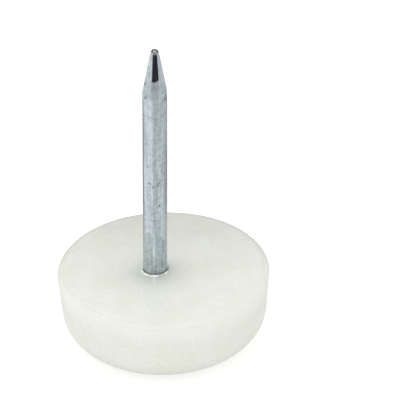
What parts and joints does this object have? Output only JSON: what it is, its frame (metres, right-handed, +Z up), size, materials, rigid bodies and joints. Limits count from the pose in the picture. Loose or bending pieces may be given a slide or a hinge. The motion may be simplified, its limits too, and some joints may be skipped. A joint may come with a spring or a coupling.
{
  "type": "nail-on furniture glide",
  "caption": "Round milky-white plastic furniture glide with a crowned underside, moulded around the head of a zinc-plated steel nail that is driven into a chair or table leg.",
  "frame": {"origin": "middle of the glide face, on the surface that the glide stands on", "axes": "+Z up, out of the seat face and towards the nail's point; -Y faces the viewer"},
  "size_m": [0.022, 0.022, 0.034],
  "materials": {
    "pad_plastic": "milky white polyethylene, moulded, soft gloss, a little translucent",
    "nail_steel": "bright zinc-plated steel wire, drawn and forged, faintly blue"
  },
  "bodies": {
    "root": {"glide_pad": "pad_plastic", "steel_nail": "nail_steel"}
  },
  "joints": []
}
